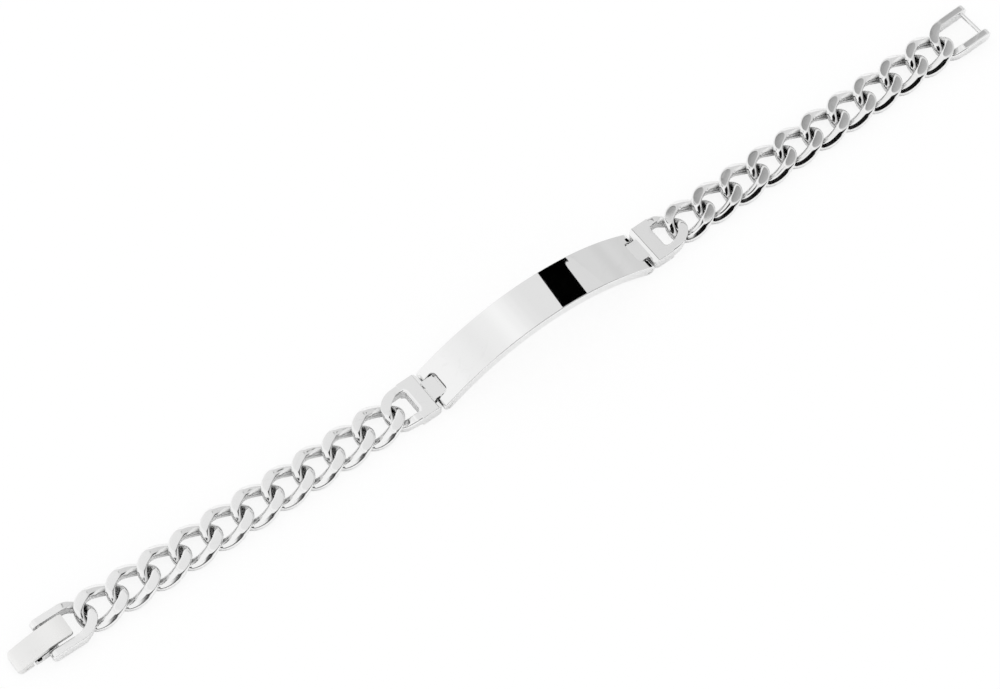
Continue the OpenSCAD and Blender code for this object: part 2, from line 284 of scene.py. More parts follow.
# %% [markdown]
# ## Name plate
# The plate is stamped flat, notched at both ends for the hinges, and then bent over a mandrel. The
# mesh is made in the same order: a flat bar with round ends, two notches, broken edges and two
# bores. Then it is sliced across every half millimetre and each point is carried to the arc. The
# arc's radius follows from the length and the height of the construction model's plate.

# %% Name plate
HALF_CHORD, RISE = HINGE_X, PLATE_HIGH - PLATE_T
BEND_R = (HALF_CHORD ** 2 + RISE ** 2) / (2 * RISE)
BEND_HALF = BEND_R * asin(HALF_CHORD / BEND_R)
SLICE, BORE_PLAY, EDGE, NOTCH_RUN = 0.5, 0.03, 0.16, 8 * PLATE_T


def flat_plate():
    """The plate before it is bent, as long as its middle layer."""
    half_t = PLATE_T / 2
    outline = (arc(BEND_HALF, 0, half_t, -90, 90, 16)
               + arc(-BEND_HALF, 0, half_t, 90, 270, 16))
    plate = prism("plate", outline, -PLATE_W / 2, PLATE_W / 2)
    notch = round_ended(NOTCH_RUN, NOTCH_W, NOTCH_R)
    shift = Matrix.Translation((NOTCH_BACK - BEND_HALF, 0, 0))
    for turn in (0, pi):
        place = Matrix.Rotation(turn, 4, "Z") @ shift
        trim(plate, notch, -PLATE_T, PLATE_T, place, "DIFFERENCE")
    broken_edges(plate, EDGE)
    for s in (-1, 1):
        boolean(plate, rod(PIN_D + BORE_PLAY, 2 * PLATE_W, s * BEND_HALF), "DIFFERENCE")
    return plate


def bent(plate):
    """Slices the flat plate across and carries each point to the arc."""
    bm = bmesh.new()
    bm.from_mesh(plate.data)
    for x in np.arange(-BEND_HALF + SLICE, BEND_HALF, SLICE):
        geometry = bm.verts[:] + bm.edges[:] + bm.faces[:]
        bmesh.ops.bisect_plane(bm, geom=geometry, plane_co=(x, 0, 0), plane_no=(1, 0, 0))
    for v in bm.verts:
        angle, r = v.co.x / BEND_R, BEND_R + v.co.z
        v.co.x, v.co.z = r * sin(angle), r * cos(angle) - BEND_R + PLATE_HIGH - PLATE_T / 2
    bm.to_mesh(plate.data)
    bm.free()
    return plate


plate = settle(shaded(bent(flat_plate())), "name_plate", middle("left"), "id_plate", "root")
print("bend radius %.1f mm, faces %d" % (BEND_R, len(plate.data.polygons)))

# %% [markdown]
# ## Pins and bars
# Drawn wire is cut to length and its ends are tumbled round. Each pin is an outline turned about
# its own axis, with a small round at each end that catches the light inside its bore.


# %% Pins and bars
BAR_PLAY = 0.1


def turned_pin(d, length, steps=48, round_off=0.12):
    """A round bar along Y with rounded ends."""
    r, half = d / 2, length / 2
    side = arc(r - round_off, half - round_off, round_off, 0, 90, 4)
    profile = side[::-1] + [(x, -y) for x, y in side]
    points, faces = [(0, half, 0), (0, -half, 0)], []
    for i in range(steps):
        a = 2 * pi * i / steps
        points += [(x * cos(a), y, x * sin(a)) for x, y in profile]
    n = len(profile)
    for i in range(steps):
        a, b = 2 + i * n, 2 + (i + 1) % steps * n
        faces += [(a + k, a + k + 1, b + k + 1, b + k) for k in range(n - 1)]
        faces += [(0, a, b), (1, b + n - 1, a + n - 1)]
    return shaded(recalculate(mesh_object("pin", points, faces)), 60)


for side in ("left", "right"):
    node = "hinge_pin_" + side
    place = middle(side) @ Matrix.Translation((-HINGE_X, 0, HINGE_Z))
    settle(turned_pin(PIN_D, span(node)[1][1]), node.replace("pin", "rivet"), place, node, "root")
    node = "shackle_bar_" + side
    place = laid(side, SHACKLE_X) @ Matrix.Translation((-BAR_REACH, 0, 0))
    bar = turned_pin(BAR_D, CHAIN_W - ARM_W - BAR_PLAY)
    settle(bar, "cross_bar_" + side, place, node, "root")
print("pins and bars:", len(PIECES) - 1)

# %% [markdown]
# ## Curb links
# A curb link is an oval of wire, twisted so that two of its quarters stand high and two lie low,
# and then the whole chain is ground flat above and below. The link is a tube swept round an oval
# whose height swings twice. Grinding is a soft limit on the height: it leaves flat facets with the
# narrow polished rims that show as bright lines round them. The facets are a little crowned, as
# hand-held work always is, and so their grey fades across. A second, steeper flat on each flank is
# cut in the section itself. One mesh serves all links.

# %% Wire sections
# The oval's half lengths, and how far the wire swings up and down: enough to pass the next link,
# and a little more for the grinding to take off.
LINK_A = (PITCH + WIRE_END + PLAY) / 2
LINK_B = (CHAIN_W - WIRE_SIDE) / 2
GRIND = 0.12
SWING = (WIRE + PLAY) / 2 + GRIND
# The round rim of each ground facet, and the crown across it.
RIM, CROWN = 0.045, 0.013
# The power of a round section, and the points round any section.
ROUND, WIRE_SIDES = 2, 40


def ground(z, low, high):
    """A soft limit: the height stays between low and high, with a round rim at each facet."""
    z = -RIM * np.logaddexp(-z / RIM, -high / RIM)
    return RIM * np.logaddexp(z / RIM, low / RIM)


def section(across, up, square):
    """One ring of points: an oval when square is 2, and nearer to a block above it."""
    a = 2 * pi * np.arange(WIRE_SIDES) / WIRE_SIDES
    c, s = np.cos(a), np.sin(a)
    return (across * np.sign(c) * np.abs(c) ** (2 / square),
            up * np.sign(s) * np.abs(s) ** (2 / square))


def stand(ring, centre, out, low, high):
    """Stands a ring upright at a point of the wire, square to its run, and grinds it."""
    u, w = ring
    height = ground(centre[2] + w, low, high) - CROWN * u ** 2 * (w > 0)
    return np.stack([centre[0] + u * out[0], centre[1] + u * out[1], height], -1)


def oval_out(a, b, t):
    """The way straight out of an oval, at the angle t."""
    v = np.array([b * cos(t), a * sin(t)])
    return v / np.linalg.norm(v)


def tube(name, rings, closed):
    """A skin over a row of rings: closed on itself, or with its two ends filled."""
    n, m = len(rings), len(rings[0])
    faces = []
    for i in range(n if closed else n - 1):
        k = (i + 1) % n
        faces += [(i * m + j, i * m + (j + 1) % m, k * m + (j + 1) % m, k * m + j)
                  for j in range(m)]
    if not closed:
        faces += [tuple(range(m)), tuple(range(n * m - 1, (n - 1) * m - 1, -1))]
    return recalculate(mesh_object(name, np.concatenate(rings), faces))


# %% Flanks of the links
# Where along the oval each flat lies, how far it runs to both sides and fades, in degrees, and how
# it is cut: its tilt, its depth, its rim, and how far the cut backs off where it fades out.
FLANK_AT, FLANK_HALF, FLANK_FADE = 75, 26, 2.5
FLANK_TILT, FLANK_DEPTH, FLANK_RIM, FLANK_BACK_OFF = radians(52), 0.098, 0.012, 0.1


def flanked(ring, across, up, t):
    """Cuts a narrow flat on the outer side of a section: above on one run, below on the other."""
    u, w = ring
    c, s = cos(FLANK_TILT), sin(FLANK_TILT)
    for way in (1, -1):
        off = abs((t * 180 / pi - way * FLANK_AT + 90) % 180 - 90)
        share = min(1, max(0, (FLANK_HALF - off) / FLANK_FADE))
        surface = sqrt((across * c) ** 2 + (up * s) ** 2)
        limit = surface - FLANK_DEPTH + FLANK_BACK_OFF * (1 - share)
        reach = u * c + way * w * s
        past = FLANK_RIM * np.logaddexp(0, (reach - limit) / FLANK_RIM)
        u, w = u - past * c, w - way * past * s
    return u, w


# %% Curb links
# The power keeps the wire narrow at the ends and wide along the sides. The tops are ground a little
# less than in the construction model, because the real facets are narrow.
LINK_RINGS, SIDE_POWER, TOP_SPARED = 160, 4, 0.08


def link_ring(t):
    """One ring of a link's wire, at the angle t of its oval."""
    rise = 2 * SWING * abs(cos(2 * t)) / sqrt((LINK_A * sin(t)) ** 2 + (LINK_B * cos(t)) ** 2)
    across = (WIRE_END + (WIRE_SIDE - WIRE_END) * abs(sin(t)) ** SIDE_POWER) / 2
    up = WIRE / 2 * sqrt(1 + rise ** 2)
    centre = (LINK_A * cos(t), LINK_B * sin(t), -SWING * sin(2 * t))
    ring = flanked(section(across, up, ROUND), across, up, t)
    return stand(ring, centre, oval_out(LINK_A, LINK_B, t), -MID_Z, MID_Z + TOP_SPARED)


link = tube("link", [link_ring(2 * pi * i / LINK_RINGS) for i in range(LINK_RINGS)], True)
shaded(link, 180, weighted=False)
for side in ("left", "right"):
    for n in range(1, LINKS + 1):
        step = LINKS - n + 1 if side == "left" else n
        copy = bpy.data.objects.new("copy", link.data.copy())
        bpy.context.scene.collection.objects.link(copy)
        node = "link_%s_%02d" % (side, n)
        settle(copy, "curb_%s_%02d" % (side, n), laid(side, LOOP_X + step * PITCH), node, "root")
bpy.data.objects.remove(link)
print("links: %d, faces each: %d" % (2 * LINKS, LINK_RINGS * WIRE_SIDES))

# %% [markdown]
# ## Loops that end the chains
# The connector and the shackle both end in half a link's oval, which runs out of two straight
# rails. The rails are level and nearly square, and the oval swings like a link. One function gives
# the rings of such a loop, and its rails are carried on as far as each piece needs.

# %% Loops
# The wire of a loop is a little taller than a link's, and the power keeps its swing out of the
# rails.
LOOP_RINGS, LOOP_SWELL, LEVEL_POWER = 48, 1.12, 8


def loop_rings(width, height, high, square):
    """Rings along half an oval, from one square rail through a round wire to the other rail."""
    rings = []
    for t in np.linspace(-pi / 2, pi / 2, LOOP_RINGS + 1):
        turn, mix = 1 - abs(sin(t)) ** LEVEL_POWER, abs(cos(t))
        across = (width + (WIRE_END - width) * mix) / 2
        up = (height + (WIRE * LOOP_SWELL - height) * mix) / 2
        b = (CHAIN_W - width) / 2
        centre = (LINK_A * cos(t), b * sin(t), -SWING * sin(2 * t) * turn)
        ring = section(across, up, square + (ROUND - square) * mix)
        rings.append(stand(ring, centre, oval_out(LINK_A, b, t), -MID_Z, high))
    return rings


def rail_ring(x, s, width, height, high, square):
    """One ring of a straight rail, at x, on the side s of the loop."""
    centre = (x, s * (CHAIN_W - width) / 2, 0)
    return stand(section(width / 2, height / 2, square), centre, (0, s), -MID_Z, high)


# %% [markdown]
# ## Connectors
# Each connector is a milled block with a slope beside the plate, a hinge knuckle that enters the
# plate's notch, and a loop for the first link. The block's hole has a shallow flare, so that the
# first link can't scrape a sharp edge. The block and the knuckle are prisms with broken edges, the
# loop is swept, and the three are united, because the real piece is one casting.

# %% Block of a connector
# The hole's corners and flare, and the block's broken edges.
HOLE_R, FLARE, FLARE_DEPTH, BLOCK_EDGE = 0.6, 0.6, 0.25, 0.24
# Cutters start below a connector, end above it, and run on past the block.
CUT_LOW, CUT_HIGH, CUT_RUN = -1, 4, 8


def block():
    """The milled block with its hole, flare and broken edges."""
    far, hole_w = HOLE_X + HOLE_R, CHAIN_W - 2 * RAIL_W
    outline = [(-far, 0), (-BODY_X, 0), (-BODY_X, CONNECTOR_T - CONNECTOR_SLOPE),
               (-BODY_X - CONNECTOR_SLOPE, CONNECTOR_T), (-far, CONNECTOR_T)]
    body = prism("body", outline, -CHAIN_W / 2, CHAIN_W / 2)
    to_face, to_hole = (Matrix.Translation((-x, 0, 0)) for x in (BODY_X, HOLE_X))
    hole = round_ended(CUT_RUN, hole_w, HOLE_R)
    trim(body, round_ended(CUT_RUN, CHAIN_W, CONNECTOR_R), CUT_LOW, CUT_HIGH, to_face, "INTERSECT")
    trim(body, hole, CUT_LOW, CUT_HIGH, to_hole, "DIFFERENCE")
    mouth = round_ended(CUT_RUN + 1, hole_w + 2 * FLARE, HOLE_R + FLARE)
    mouth = [(x + FLARE, y) for x, y in mouth]
    flare = upright("flare", hole, mouth, CONNECTOR_T - FLARE_DEPTH, CONNECTOR_T)
    flare.data.transform(to_hole)
    boolean(body, flare, "DIFFERENCE")
    return broken_edges(body, BLOCK_EDGE, segments=4)


# %% Knuckle of a connector
# The knuckle is a little thinner than the plate and stays clear of the notch's back. Its root
# reaches into the block.
KNUCKLE_THIN, NOSE_GAP, KNUCKLE_ROOT, KNUCKLE_EDGE = 0.05, 0.2, 1, 0.1
KNUCKLE_R = PLATE_T / 2 - KNUCKLE_THIN
NOSE = NOTCH_BACK - KNUCKLE_R - NOSE_GAP


def knuckle():
    """The hinge's knuckle, which turns between the plate's prongs."""
    root = -BODY_X - KNUCKLE_ROOT
    outline = (arc(NOSE - HINGE_X, HINGE_Z, KNUCKLE_R, -90, 90, 20)
               + [(root, HINGE_Z + KNUCKLE_R), (root, HINGE_Z - KNUCKLE_R)])
    piece = prism("knuckle", outline, -KNUCKLE_W / 2, KNUCKLE_W / 2)
    nose = Matrix.Translation((NOSE + KNUCKLE_R + KNUCKLE_THIN - HINGE_X, 0, 0))
    plan = round_ended(CUT_RUN, KNUCKLE_W, NOTCH_R)
    trim(piece, plan, CUT_LOW, CUT_HIGH, nose, "INTERSECT")
    return broken_edges(piece, KNUCKLE_EDGE, 40)


# %% Connectors
# The loop's top lies a hair below the block's, so that the two flat faces don't fight. Its section
# is ground from a slightly taller one.
FLUSH, RAIL_GRIND, RAIL_SQUARE = 0.004, 0.1, 4.0
RAIL_HIGH = CONNECTOR_T - MID_Z


def connector_loop():
    rail = (RAIL_W, 2 * RAIL_HIGH + RAIL_GRIND, RAIL_HIGH - FLUSH, RAIL_SQUARE)
    run = RAIL_RUN + CONNECTOR_BODY / 2
    rings = [rail_ring(-run, -1, *rail)] + loop_rings(*rail) + [rail_ring(-run, 1, *rail)]
    loop = tube("loop", rings, False)
    loop.data.transform(Matrix.Translation((-LOOP_X, 0, MID_Z)) @ Matrix.Rotation(pi, 4, "Z"))
    return loop


def connector():
    body = boolean(boolean(block(), knuckle(), "UNION"), connector_loop(), "UNION")
    boolean(body, rod(PIN_D + 2 * BORE_PLAY, 2 * CHAIN_W, -HINGE_X, HINGE_Z), "DIFFERENCE")
    return shaded(body, 40)


for side in ("left", "right"):
    piece = settle(connector(), "hinge_block_" + side, middle(side), "connector_" + side, "root")
print("connector faces:", len(piece.data.polygons))

# %% [markdown]
# ## Shackles
# A shackle is one bent bar: two arms with round tips, and a loop that holds the last link. It is a
# single sweep from tip to tip, so no seam shows where the arms run into the loop. The arms are
# square with round corners and ground flat on top, at the same height as the loop. Towards each
# tip the section shrinks on a quarter circle, which rounds the end as a file would.

# %% Shackles
# The arms are ground from a slightly taller section. At the very tip a section keeps a share of its
# width, and the first ring isn't quite a point.
ARM_SQUARE, ARM_FULL, ARM_TOP = 6.0, ARM_T + GRIND, ARM_T / 2
TIP_RINGS, TIP_FILL, TIP_START = 14, 0.62, 2
ARM_STEPS = (-3.0, -2.0, -1.0)


def tip_ring(a, s):
    """One ring of an arm's round tip, from the first at a small angle to the full one at 90."""
    x = -ARM_REACH + ARM_TOP * (1 - cos(a))
    ring = rail_ring(x, s, ARM_W, ARM_FULL * sin(a), ARM_TOP, ARM_SQUARE)
    middle_y = s * (CHAIN_W - ARM_W) / 2
    ring[:, 1] = middle_y + (ring[:, 1] - middle_y) * (TIP_FILL + (1 - TIP_FILL) * sin(a))
    return ring


def arm_rings(s):
    """Rings from the tip of an arm to the start of the loop."""
    angles = [radians(TIP_START + (90 - TIP_START) * i / TIP_RINGS) for i in range(TIP_RINGS + 1)]
    return ([tip_ring(a, s) for a in angles]
            + [rail_ring(x, s, ARM_W, ARM_FULL, ARM_TOP, ARM_SQUARE) for x in ARM_STEPS])


def shackle():
    loop = loop_rings(ARM_W, ARM_FULL, ARM_TOP, ARM_SQUARE)
    return shaded(tube("shackle", arm_rings(-1) + loop + arm_rings(1)[::-1], False), 60)


for side in ("left", "right"):
    settle(shackle(), "end_shackle_" + side, laid(side, SHACKLE_X), "shackle_" + side, "root")
print("shackle faces:", len(PIECES[-1][0].data.polygons))

# %% [markdown]
# ## Clasp
# The clasp hangs on the left shackle's bar. Its tongue turns on the bar, and an arched lid, shut
# over the tongue, turns on a pin at the far end. Both are drawn from the side about the bar and
# drawn out to their widths. The whole droops until the turned-down end lies on the table.

# %% Clasp sizes
# Tongue: from the bar to the lid's pin, with a narrow eye round that pin.
TONGUE_LEN, TONGUE_T, TONGUE_W, EYE_W = 5.25, 1.6, 4.4, 2.7
# Lid: its arch, its corners, the place of its crest and the gap over the tongue.
LID_LEN, LID_W, LID_T, LID_R = 11.0, 4.1, 0.8, 25.0
LID_CORNER_R, LID_NOSE_R, LID_CREST, LID_GAP = 0.5, 0.8, 5.75, 0.25
# The lid's turned-down end: its cheeks, how far it reaches past the pin, its wall and its round.
CHEEK, CHEEK_DROP, LID_BACK, WALL, END_R = 2.9, 0.7, 1.85, 0.4, 1.1
# Play: of the eye in the lid, of the cheeks before the tongue, and over the table. The clasp lies a
# little to one side on its bar.
EYE_PLAY, CHEEK_PLAY, TABLE_PLAY, SLIDE = 0.1, 0.14, 0.02, 0.25
REACH = TONGUE_LEN + LID_BACK
CREST_X = LID_CREST - TONGUE_LEN
LID_TOP = TONGUE_T / 2 + LID_GAP + LID_T
EYE_LEN = sqrt((CHEEK - LID_BACK) ** 2 + CHEEK_DROP ** 2) + CHEEK_PLAY
WIDE_END = TONGUE_LEN - EYE_LEN
END_FAR = sqrt(REACH ** 2 + CHEEK_DROP ** 2)
DROOP = asin((MID_Z - TABLE_PLAY) / END_FAR) - atan(CHEEK_DROP / REACH)


def arch_z(r, x):
    """The height of the lid's arch, drawn with the radius r about the same centre."""
    return LID_TOP - LID_R + sqrt(r * r - (x - CREST_X) ** 2)


def arch(r, start, end, steps):
    """Points along that arch, for an outline."""
    return [(x, arch_z(r, x)) for x in np.linspace(start, end, steps + 1)]


CLASP = (laid("left", SHACKLE_X) @ Matrix.Translation((-BAR_REACH, -SLIDE, 0))
         @ Matrix.Rotation(-DROOP, 4, "Y"))
print("droop %.1f degrees" % (DROOP * 180 / pi))


# %% Tongue
# The eye's root reaches into the wide part. The saddle is the groove across the tongue that holds
# the free bar when the clasp is shut on it.
TONGUE_EDGE, EYE_ROOT, EYE_SHOULDER, EYE_SLOPE = 0.1, 0.3, 0.3, 0.1
SADDLE_X, SADDLE_R, SADDLE_OPEN = 3.0, BAR_D / 2 + 0.05, 2


def eye():
    """The narrow part of the tongue, round the lid's pin."""
    half, root = TONGUE_T / 2, EYE_LEN + EYE_ROOT - TONGUE_LEN
    outline = (arc(-TONGUE_LEN, 0, half, 90, 270, 20)
               + [(root, -half), (root, EYE_SHOULDER), (EYE_LEN - TONGUE_LEN - EYE_SLOPE, half)])
    return broken_edges(prism("eye", outline, -EYE_W / 2, EYE_W / 2), TONGUE_EDGE)


def saddle():
    """The cutter of the groove."""
    z = arch_z(LID_R - LID_T, -SADDLE_X) - SADDLE_R
    groove = (arc(-SADDLE_X, z, SADDLE_R, 180, 360, 16)
              + [(SADDLE_R - SADDLE_X, SADDLE_OPEN), (-SADDLE_R - SADDLE_X, SADDLE_OPEN)])
    return prism("groove", groove, -TONGUE_W, TONGUE_W)


def tongue():
    half, under = TONGUE_T / 2, LID_R - LID_T - LID_GAP
    wide = (arch(under, -WIDE_END, 0, 16) + arc(0, 0, half, 85, -90, 16)
            + [(-WIDE_END, -half)])
    piece = broken_edges(prism("wide", wide, -TONGUE_W / 2, TONGUE_W / 2), TONGUE_EDGE)
    boolean(piece, eye(), "UNION")
    boolean(piece, rod(BAR_D + 2 * BORE_PLAY, 2 * TONGUE_W), "DIFFERENCE")
    boolean(piece, rod(LID_PIN_D + BORE_PLAY, 2 * TONGUE_W, -TONGUE_LEN), "DIFFERENCE")
    boolean(piece, saddle(), "DIFFERENCE")
    return shaded(piece, 40)


settle(tongue(), "tongue_bar", CLASP, "clasp_tongue", "tongue")
pin_place = CLASP @ Matrix.Translation((-TONGUE_LEN, 0, 0))
settle(turned_pin(LID_PIN_D, LID_W - BAR_PLAY), "lid_rivet", pin_place, "lid_pin", "tongue")


# %% Lid
# The broken edges, the short straight between the round end and the arch, and the hollow between
# the cheeks: how far its cutter runs past the lid, and half the height of its slot.
LID_EDGE, ARCH_GAP, HOLLOW_RUN, SLOT = 0.12, 0.1, 1, 0.15
# Cutters start and end this far below and above the lid's pin.
LID_CUT = 5


def lid_body():
    """The arched cover with its round end, before the hollow is cut."""
    end_x = END_R - REACH
    end_z = arch_z(LID_R - END_R, end_x)
    lean = (end_x - CREST_X) / (LID_R - END_R)
    top_angle = 90 - asin(lean) * 180 / pi
    outline = (arc(end_x, end_z, END_R, 180, top_angle, 12)
               + arch(LID_R, end_x + END_R * lean + ARCH_GAP, LID_LEN - REACH, 48)
               + arch(LID_R - LID_T, LID_LEN - REACH, CHEEK - REACH, 40)
               + [(CHEEK - REACH, -CHEEK_DROP), (-REACH, -CHEEK_DROP)])
    piece = prism("lid", outline, -LID_W / 2, LID_W / 2)
    to_nose = Matrix.Translation((-REACH, 0, 0)) @ Matrix.Rotation(pi, 4, "Z")
    for r, place in ((LID_CORNER_R, Matrix.Translation((LID_LEN - REACH, 0, 0))),
                     (LID_NOSE_R, to_nose)):
        plan = round_ended(2 * LID_LEN, LID_W, r)
        trim(piece, plan, -LID_CUT, LID_CUT, place, "INTERSECT")
    return broken_edges(piece, LID_EDGE)


def hollow():
    """The space between the cheeks, in which the tongue's eye turns."""
    r, down = TONGUE_T / 2 + EYE_PLAY, CHEEK_DROP + HOLLOW_RUN
    front, back = EYE_LEN + EYE_PLAY - TONGUE_LEN, -REACH - HOLLOW_RUN
    outline = (arc(-TONGUE_LEN, 0, r, 90, 168, 10)
               + [(WALL - REACH, SLOT), (WALL - REACH, -SLOT), (back, -SLOT),
                  (back, -down), (front, -down), (front, r)])
    half = EYE_W / 2 + EYE_PLAY
    return prism("hollow", outline, -half, half)


def lid():
    piece = boolean(lid_body(), hollow(), "DIFFERENCE")
    boolean(piece, rod(LID_PIN_D + 2 * BORE_PLAY, 2 * LID_W, -TONGUE_LEN), "DIFFERENCE")
    return shaded(piece, 40)


settle(lid(), "lid_cover", CLASP, "clasp_lid", "lid")
print("clasp pieces:", [p.name for p, _ in PIECES[-3:]])

# %% [markdown]
# ## Boxes against the construction model
# A finer mesh must still fill the space that its node holds. The largest differences between the
# corners of a piece and its node are printed, and they should stay at a few hundredths of a
# millimetre.


# %% Compare boxes
def box_difference(piece, node):
    """The largest step between a corner of the piece's box and its node's, in millimetres."""
    co = np.array([piece.matrix_world @ v.co for v in piece.data.vertices])
    low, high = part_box(node)
    return max(np.abs(co.min(0) - low).max(), np.abs(co.max(0) - high).max()) / MM


worst = sorted((box_difference(p, n), n) for p, n in PIECES)[-4:]
print("largest differences, mm:", [(round(d, 3), n) for d, n in worst])

# %% [markdown]
# ## Steel
# Stainless steel is a neutral, slightly warm metal. Its base colour is what it mirrors straight on.
# Real polish isn't perfect: fine hairlines from wiping, a soft haze from handling, and a brighter,
# smoother rim where edges are rubbed. Between crossing links the steel's colour is darkened: this
# is painted shade. Hairlines, rubbed edges and the painted shade are a node group each, because
# every finish uses them.

# %% Node helpers
def new_group(name, inputs, outputs):
    """An empty node group with its sockets, and its input and output nodes."""
    group = bpy.data.node_groups.new(name, "ShaderNodeTree")
    for label, kind, value in inputs:
        socket = group.interface.new_socket(label, in_out="INPUT", socket_type=kind)
        socket.default_value = value
    for label, kind in outputs:
        group.interface.new_socket(label, in_out="OUTPUT", socket_type=kind)
    return group, group.nodes.new("NodeGroupInput"), group.nodes.new("NodeGroupOutput")


def add(tree, kind, settings=None, **inputs):
    """A node with its settings, and its inputs set to values or linked to sockets.

    An input is given by its name, or as i0, i1 and so on by its place in the node.
    """
    node = tree.nodes.new(kind)
    for key, value in (settings or {}).items():
        setattr(node, key, value)
    for label, value in inputs.items():
        by_place = label[0] == "i" and label[1:].isdigit()
        socket = node.inputs[int(label[1:]) if by_place else label.replace("_", " ")]
        if isinstance(value, bpy.types.NodeSocket):
            tree.links.new(value, socket)
        else:
            socket.default_value = value
    return node


def soft(tree, value, start, end):
    """A mask that goes smoothly from 0 at the start value to 1 at the end value."""
    node = add(tree, "ShaderNodeMapRange", {"interpolation_type": "SMOOTHSTEP"},
               Value=value, From_Min=start, From_Max=end)
    return node.outputs["Result"]


def times(tree, a, b):
    return add(tree, "ShaderNodeMath", {"operation": "MULTIPLY"}, i0=a, i1=b).outputs[0]


def stretched(tree, vector, scale):
    """A place scaled by its three directions, to draw a texture out."""
    return add(tree, "ShaderNodeVectorMath", {"operation": "MULTIPLY"}, i0=vector, i1=scale).outputs[0]


def blend(tree, factor, a, b):
    """A value between a and b."""
    return add(tree, "ShaderNodeMix", {"data_type": "FLOAT"}, Factor=factor, i2=a, i3=b).outputs[0]


def blend_colour(tree, factor, a, b):
    """A colour between a and b."""
    return add(tree, "ShaderNodeMix", {"data_type": "RGBA"}, Factor=factor, i6=a, i7=b).outputs[2]


# %% Hairlines
# The two directions of the scratches, in radians, and the share of the noise that becomes lines.
LINE_TURNS, LINE_FROM, LINE_TO = (0.35, -0.6), 0.60, 0.72


def hairline_group():
    """Fine scratches in two crossing directions, as a mask from 0 to 1."""
    group, start, end = new_group(
        "hairlines",
        [("Scale", "NodeSocketFloat", 900.0), ("Stretch", "NodeSocketFloat", 0.04),
         ("Amount", "NodeSocketFloat", 0.5)],
        [("Mask", "NodeSocketFloat")])
    coords = add(group, "ShaderNodeTexCoord")
    masks = []
    for turn in LINE_TURNS:
        spun = add(group, "ShaderNodeVectorRotate", {"rotation_type": "Z_AXIS"},
                   Vector=coords.outputs["Object"], Angle=turn)
        stretch = add(group, "ShaderNodeCombineXYZ", X=start.outputs["Stretch"], Y=1.0, Z=1.0)
        noise = add(group, "ShaderNodeTexNoise",
                    Vector=stretched(group, spun.outputs[0], stretch.outputs[0]),
                    Scale=start.outputs["Scale"], Detail=3.0, Roughness=0.6)
        cut = add(group, "ShaderNodeMapRange", Value=noise.outputs["Fac"],
                  From_Min=LINE_FROM, From_Max=LINE_TO)
        masks.append(cut.outputs["Result"])
    both = add(group, "ShaderNodeMath", {"operation": "MAXIMUM"}, i0=masks[0], i1=masks[1])
    mask = times(group, both.outputs[0], start.outputs["Amount"])
    group.links.new(mask, end.inputs["Mask"])
    return group


HAIRLINES = hairline_group()


# %% Rubbed edges
FLAT = 0.5  # Pointiness of a flat face


def rubbed_group():
    """Where edges stand out, wiping keeps them bright: a mask from the surface's bend."""
    group, start, end = new_group(
        "rubbed_edges",
        [("Reach", "NodeSocketFloat", 0.06), ("Amount", "NodeSocketFloat", 1.0)],
        [("Mask", "NodeSocketFloat")])
    bend = add(group, "ShaderNodeNewGeometry")
    top = add(group, "ShaderNodeMath", {"operation": "ADD"}, i0=FLAT, i1=start.outputs["Reach"])
    rubbed = add(group, "ShaderNodeMapRange", Value=bend.outputs["Pointiness"],
                 From_Min=FLAT, From_Max=top.outputs[0])
    mask = times(group, rubbed.outputs["Result"], start.outputs["Amount"])
    group.links.new(mask, end.inputs["Mask"])
    return group


RUBBED = rubbed_group()


# %% Painted shade in hollows
# A place counts as open above the first share of free sky, and as shut below the second.
OPEN_SHARE, SHUT_SHARE = 0.75, 0.15


def painted_shade_group():
    """Painted shade: where little sky is open, between crossing pieces, the steel's colour is
    darkened.
    """
    group, start, end = new_group(
        "painted_shade",
        [("Reach", "NodeSocketFloat", 0.0012), ("Amount", "NodeSocketFloat", 0.5)],
        [("Mask", "NodeSocketFloat")])
    sky = add(group, "ShaderNodeAmbientOcclusion", {"samples": 6},
              Distance=start.outputs["Reach"])
    # The less open sky the occlusion finds, the more painted shade the mask gives.
    shut = soft(group, sky.outputs["AO"], OPEN_SHARE, SHUT_SHARE)
    group.links.new(times(group, shut, start.outputs["Amount"]), end.inputs["Mask"])
    return group


PAINTED_SHADE_GROUP = painted_shade_group()


# %% [markdown]
# The finishes share one recipe: a slow haze and the hairlines raise the roughness, rubbed edges
# lower it, and a very faint bump lets the hairlines catch light. Only the chain gets painted shade
# in its hollows. The satin lid adds a grain that runs along it, which a fine abrasive belt leaves.

# %% Steel finishes
# Steel as it mirrors straight on, the near-black of the painted shade, and the lid's warmer steel.
STEEL, PAINTED_SHADE_GREY = (0.922, 0.922, 0.921, 1.0), (0.12, 0.12, 0.12, 1.0)
LID_STEEL = (0.90, 0.897, 0.89, 1.0)
# The haze is a cloudy noise: its scale, and the part of its range that is used.
CLOUD_SCALE, CLOUD_FROM, CLOUD_TO = 120.0, 0.3, 0.7
# A hairline is rougher by the first value, and its colour is the steel's times the second.
LINE_ROUGH, LINE_SHADE = 0.12, 0.94
# The belt's grain is a very fine noise, drawn out along the piece.
GRAIN_SCALE, GRAIN_STRETCH = 9000.0, (0.02, 1.0, 1.0)
# The bump's strength, what the grain adds to it, and its depth in metres.
BUMP, GRAIN_BUMP, BUMP_DEPTH = 0.04, 0.2, 0.00001


def grained(tree, place, height, grain):
    """Adds the grain of an abrasive belt to a height."""
    belt = add(tree, "ShaderNodeTexNoise", Vector=stretched(tree, place, GRAIN_STRETCH),
               Scale=GRAIN_SCALE, Detail=4.0)
    return add(tree, "ShaderNodeMath", {"operation": "MULTIPLY_ADD"},
               i0=belt.outputs["Fac"], i1=grain, i2=height).outputs[0]


